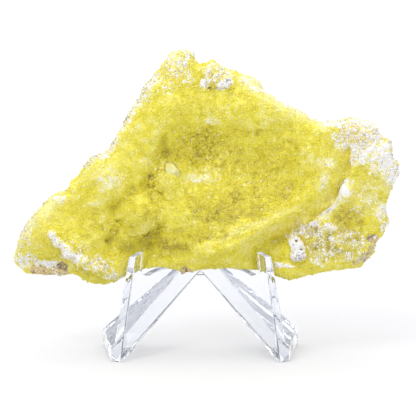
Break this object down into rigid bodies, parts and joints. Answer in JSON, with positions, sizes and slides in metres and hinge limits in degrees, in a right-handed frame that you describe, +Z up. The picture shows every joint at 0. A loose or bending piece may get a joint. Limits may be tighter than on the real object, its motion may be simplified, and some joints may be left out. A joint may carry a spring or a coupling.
{
  "type": "brucite crystal specimen on a display stand",
  "caption": "Yellow botryoidal brucite hand specimen with white crust, leaning back on a small clear moulded acrylic easel with two front prongs.",
  "frame": {"origin": "on the table, under the middle of the whole object's box", "axes": "+X to the right seen from the display side, -Y towards the viewer, +Z up"},
  "size_m": [0.0998, 0.0246, 0.0802],
  "materials": {
    "brucite": "waxy, fine grained druse with white crust and brown matrix",
    "clear_acrylic": "polished, clear"
  },
  "bodies": {
    "root": {"brucite_specimen": "brucite", "display_stand": "clear_acrylic"}
  },
  "joints": []
}
